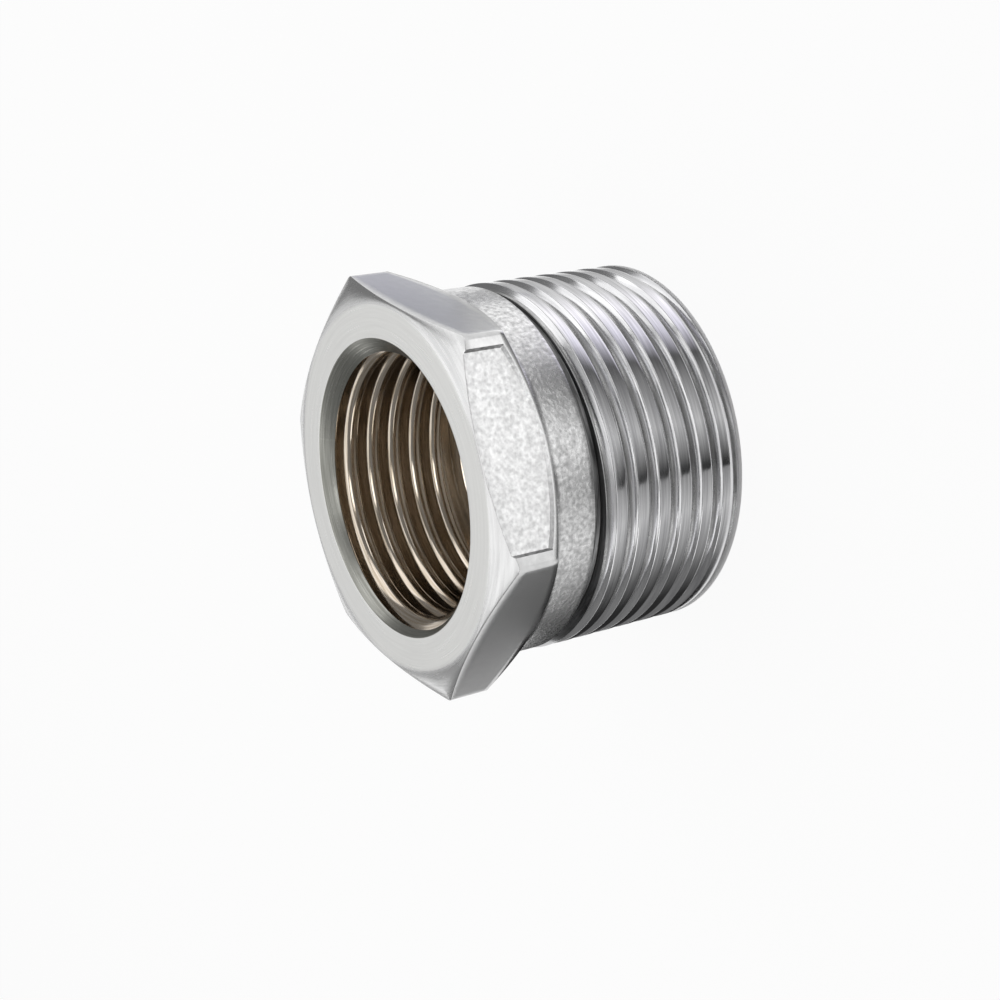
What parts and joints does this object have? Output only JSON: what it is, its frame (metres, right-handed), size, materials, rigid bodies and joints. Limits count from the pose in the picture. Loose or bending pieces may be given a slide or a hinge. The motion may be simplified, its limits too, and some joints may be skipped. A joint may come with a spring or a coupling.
{
  "type": "hex bushing",
  "caption": "Reducing hex bushing: hexagon head with chamfered corners, short collar, male pipe thread outside and smaller female pipe thread inside, with a plain bore behind it.",
  "frame": {"origin": "centre of the thread end, on the common axis of both threads", "axes": "+Z along the axis from the thread end to the hexagon's face; +X through a corner of the hexagon; -Y out of the flat with the sunk panel"},
  "size_m": [0.0304, 0.0264, 0.0205],
  "materials": {
    "stainless": "satin cast and machined stainless steel"
  },
  "bodies": {
    "root": {"hex_bushing": "stainless"}
  },
  "joints": []
}
